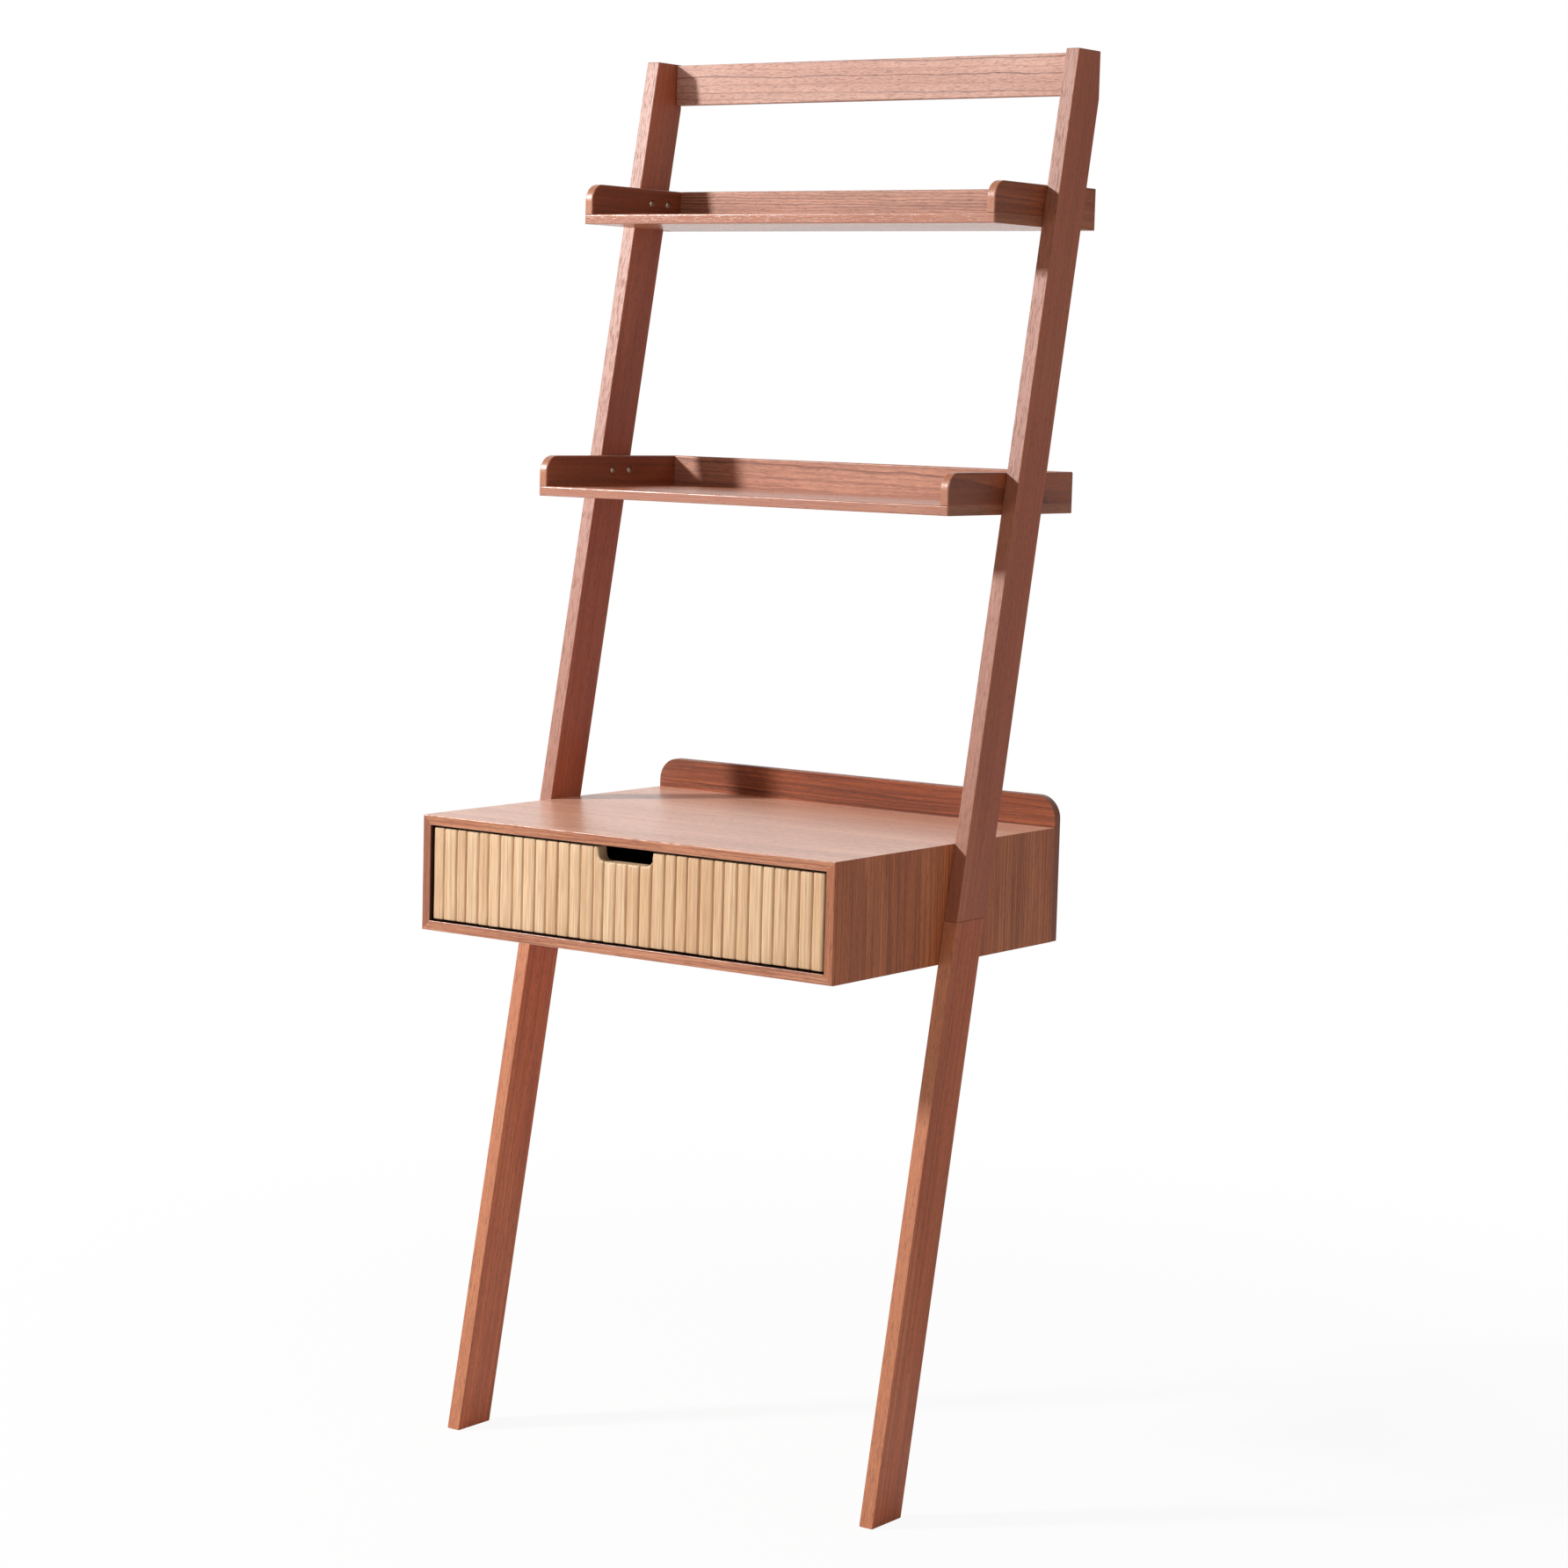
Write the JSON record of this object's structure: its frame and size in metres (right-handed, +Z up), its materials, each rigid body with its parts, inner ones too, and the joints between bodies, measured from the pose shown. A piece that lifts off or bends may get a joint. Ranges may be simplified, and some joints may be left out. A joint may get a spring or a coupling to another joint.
{
  "type": "ladder desk",
  "caption": "Leaning ladder desk with flat stiles, tray shelves and a desk box with a reeded drawer front; fixes to a wall.",
  "frame": {"origin": "on the floor, midway across the stiles and midway between the desk's front edge and the wall", "axes": "+X to the sitter's right when facing the desk, +Y back into the wall, +Z up"},
  "size_m": [0.637, 0.478, 1.7],
  "materials": {
    "walnut_stiles": "satin lacquer, grain along the stile",
    "walnut_boards": "satin lacquered veneer",
    "oak_reeds": "matt lacquer, natural oak",
    "birch_drawer": "clear lacquered birch plywood",
    "beech_joints": "bare beech",
    "rubber_pads": "matt",
    "nickel_bolts": "nickel plated",
    "zinc_steel": "bright zinc plated",
    "brass_inserts": "turned"
  },
  "bodies": {
    "desk_frame": {"left_upper_stile": "walnut_stiles", "right_upper_stile": "walnut_stiles", "left_lower_stile": "walnut_stiles", "right_lower_stile": "walnut_stiles", "stile_joint_studs": "zinc_steel", "stile_joint_dowels": "beech_joints", "left_foot_pad": "rubber_pads", "right_foot_pad": "rubber_pads", "top_rail": "walnut_boards", "rail_dowels": "beech_joints", "rail_cam_bolts": "nickel_bolts", "rail_cam_locks": "zinc_steel", "wall_hanger_plates": "zinc_steel", "hanger_plate_screws": "zinc_steel", "desk_top_panel": "walnut_boards", "desk_bottom_panel": "walnut_boards", "desk_left_panel": "walnut_boards", "desk_right_panel": "walnut_boards", "desk_corner_splines": "beech_joints", "desk_back_board": "walnut_boards", "desk_back_screws": "zinc_steel", "desk_bolts": "nickel_bolts", "desk_insert_nuts": "brass_inserts", "middle_shelf_bottom": "walnut_boards", "middle_shelf_left_side": "walnut_boards", "middle_shelf_right_side": "walnut_boards", "middle_shelf_back": "walnut_boards", "middle_shelf_screws": "zinc_steel", "middle_shelf_bolts": "nickel_bolts", "middle_shelf_insert_nuts": "brass_inserts", "top_shelf_bottom": "walnut_boards", "top_shelf_left_side": "walnut_boards", "top_shelf_right_side": "walnut_boards", "top_shelf_back": "walnut_boards", "top_shelf_screws": "zinc_steel", "top_shelf_bolts": "nickel_bolts", "top_shelf_insert_nuts": "brass_inserts", "top_shelf_packers": "walnut_boards", "top_shelf_packer_screws": "zinc_steel", "left_slide_cabinet_member": "zinc_steel", "right_slide_cabinet_member": "zinc_steel", "slide_screws_in_box": "zinc_steel"},
    "drawer": {"drawer_front_board": "oak_reeds", "drawer_front_reeds": "oak_reeds", "drawer_left_side": "birch_drawer", "drawer_right_side": "birch_drawer", "drawer_back": "birch_drawer", "drawer_bottom": "birch_drawer", "drawer_front_dowels": "beech_joints", "drawer_back_screws": "zinc_steel", "left_slide_drawer_member": "zinc_steel", "right_slide_drawer_member": "zinc_steel", "slide_screws_in_drawer": "zinc_steel"},
    "left_slide_middle": {"left_slide_middle_member": "zinc_steel"},
    "right_slide_middle": {"right_slide_middle_member": "zinc_steel"}
  },
  "joints": [
    {"name": "drawer_slide", "type": "slide", "parent": "desk_frame", "child": "drawer", "axis": [0, -1, 0], "range_m": [0, 0.38]},
    {"name": "left_middle_slide", "type": "slide", "parent": "desk_frame", "child": "left_slide_middle", "axis": [0, -1, 0], "range_m": [0, 0.19]},
    {"name": "right_middle_slide", "type": "slide", "parent": "desk_frame", "child": "right_slide_middle", "axis": [0, -1, 0], "range_m": [0, 0.19]}
  ],
  "couplings": [
    {"joint": "left_middle_slide", "follows": "drawer_slide", "ratio": 0.5},
    {"joint": "right_middle_slide", "follows": "drawer_slide", "ratio": 0.5}
  ]
}
